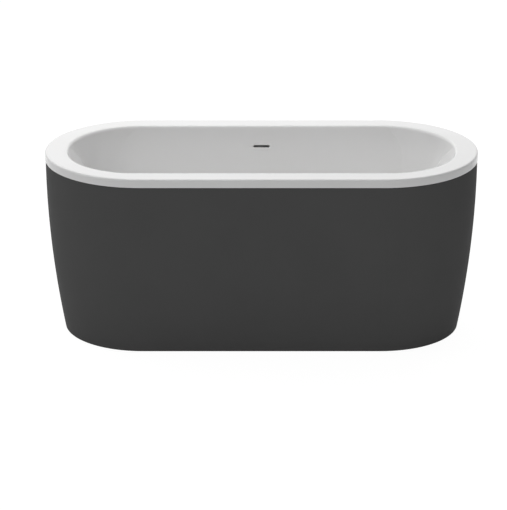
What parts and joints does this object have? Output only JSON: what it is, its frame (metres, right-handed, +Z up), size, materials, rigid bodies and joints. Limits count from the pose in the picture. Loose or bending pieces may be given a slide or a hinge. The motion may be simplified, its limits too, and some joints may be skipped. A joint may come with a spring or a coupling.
{
  "type": "freestanding bathtub",
  "caption": "Obround freestanding bathtub with a flat rim, turned-down lip, slot overflow and a separate skirt panel that curves in towards the floor, on a cradle with screw feet.",
  "frame": {"origin": "on the floor, under the middle of the tub", "axes": "+X along the tub, +Y across it towards the side with the overflow slot, +Z up"},
  "size_m": [1.5, 0.68, 0.644],
  "materials": {
    "acrylic_white": "glossy white sanitary acrylic",
    "skirt_charcoal": "matt charcoal",
    "rubber_black": "soft, matt",
    "rubber_grey": "soft, matt",
    "timber": "sawn, unpainted",
    "board": "moisture-resistant board",
    "zinc_steel": "zinc plated",
    "frame_paint": "satin powder coat",
    "cap_plastic": "moulded, satin",
    "foot_plastic": "moulded, satin",
    "chrome": "polished",
    "waste_plastic": "moulded, satin white",
    "nut_plastic": "moulded, satin white",
    "hose_plastic": "flexible grey-white"
  },
  "bodies": {
    "root": {"tub_shell": "acrylic_white", "skirt_panel": "skirt_charcoal", "rim_seal": "rubber_black", "rim_battens": "timber", "flange_screws": "zinc_steel", "base_board": "board", "crossbar_left": "frame_paint", "crossbar_right": "frame_paint", "rail_front": "frame_paint", "rail_back": "frame_paint", "tie_left": "frame_paint", "tie_right": "frame_paint", "tube_caps": "cap_plastic", "cradle_screws": "zinc_steel", "skirt_buffers": "rubber_black", "weld_nuts": "zinc_steel", "lock_nuts": "zinc_steel", "waste_flange": "chrome", "waste_gasket_upper": "rubber_grey", "waste_gasket_lower": "rubber_black", "waste_body": "waste_plastic", "overflow_gasket": "rubber_grey", "overflow_box": "waste_plastic", "overflow_hose": "hose_plastic", "hose_lower_nut": "nut_plastic", "hose_lower_seal": "rubber_black", "hose_upper_nut": "nut_plastic", "hose_upper_seal": "rubber_black", "trap_body": "waste_plastic", "trap_inlet_nut": "nut_plastic", "trap_inlet_seal": "rubber_black", "trap_outlet_nut": "nut_plastic", "trap_outlet_seal": "rubber_black", "trap_cap": "nut_plastic"},
    "plug": {"plug_cap": "chrome", "plug_seal": "rubber_black", "plug_spindle": "chrome"},
    "foot_1": {"foot_pad_1": "foot_plastic"},
    "foot_rod_1": {"foot_rod_1": "zinc_steel"},
    "foot_2": {"foot_pad_2": "foot_plastic"},
    "foot_rod_2": {"foot_rod_2": "zinc_steel"},
    "foot_3": {"foot_pad_3": "foot_plastic"},
    "foot_rod_3": {"foot_rod_3": "zinc_steel"},
    "foot_4": {"foot_pad_4": "foot_plastic"},
    "foot_rod_4": {"foot_rod_4": "zinc_steel"}
  },
  "joints": [
    {"name": "plug_rise", "type": "slide", "parent": "root", "child": "plug", "axis": [0, 0, 1], "range_m": [0, 0.009]},
    {"name": "foot_1_height", "type": "slide", "parent": "root", "child": "foot_1", "axis": [0, 0, 1], "range_m": [-0.022, 0]},
    {"name": "foot_1_turn", "type": "hinge", "parent": "foot_1", "child": "foot_rod_1", "pos_m": [-0.38, -0.23001, 0], "axis": [0, 0, 1], "range_deg": [-4530, 0]},
    {"name": "foot_2_height", "type": "slide", "parent": "root", "child": "foot_2", "axis": [0, 0, 1], "range_m": [-0.022, 0]},
    {"name": "foot_2_turn", "type": "hinge", "parent": "foot_2", "child": "foot_rod_2", "pos_m": [0.38, -0.23001, 0], "axis": [0, 0, 1], "range_deg": [-4530, 0]},
    {"name": "foot_3_height", "type": "slide", "parent": "root", "child": "foot_3", "axis": [0, 0, 1], "range_m": [-0.022, 0]},
    {"name": "foot_3_turn", "type": "hinge", "parent": "foot_3", "child": "foot_rod_3", "pos_m": [0.38, 0.23001, 0], "axis": [0, 0, 1], "range_deg": [-4530, 0]},
    {"name": "foot_4_height", "type": "slide", "parent": "root", "child": "foot_4", "axis": [0, 0, 1], "range_m": [-0.022, 0]},
    {"name": "foot_4_turn", "type": "hinge", "parent": "foot_4", "child": "foot_rod_4", "pos_m": [-0.38, 0.23001, 0], "axis": [0, 0, 1], "range_deg": [-4530, 0]}
  ],
  "couplings": [
    {"joint": "foot_1_turn", "follows": "foot_1_height", "rad_per_m": 3590.4},
    {"joint": "foot_2_turn", "follows": "foot_2_height", "rad_per_m": 3590.4},
    {"joint": "foot_3_turn", "follows": "foot_3_height", "rad_per_m": 3590.4},
    {"joint": "foot_4_turn", "follows": "foot_4_height", "rad_per_m": 3590.4}
  ]
}
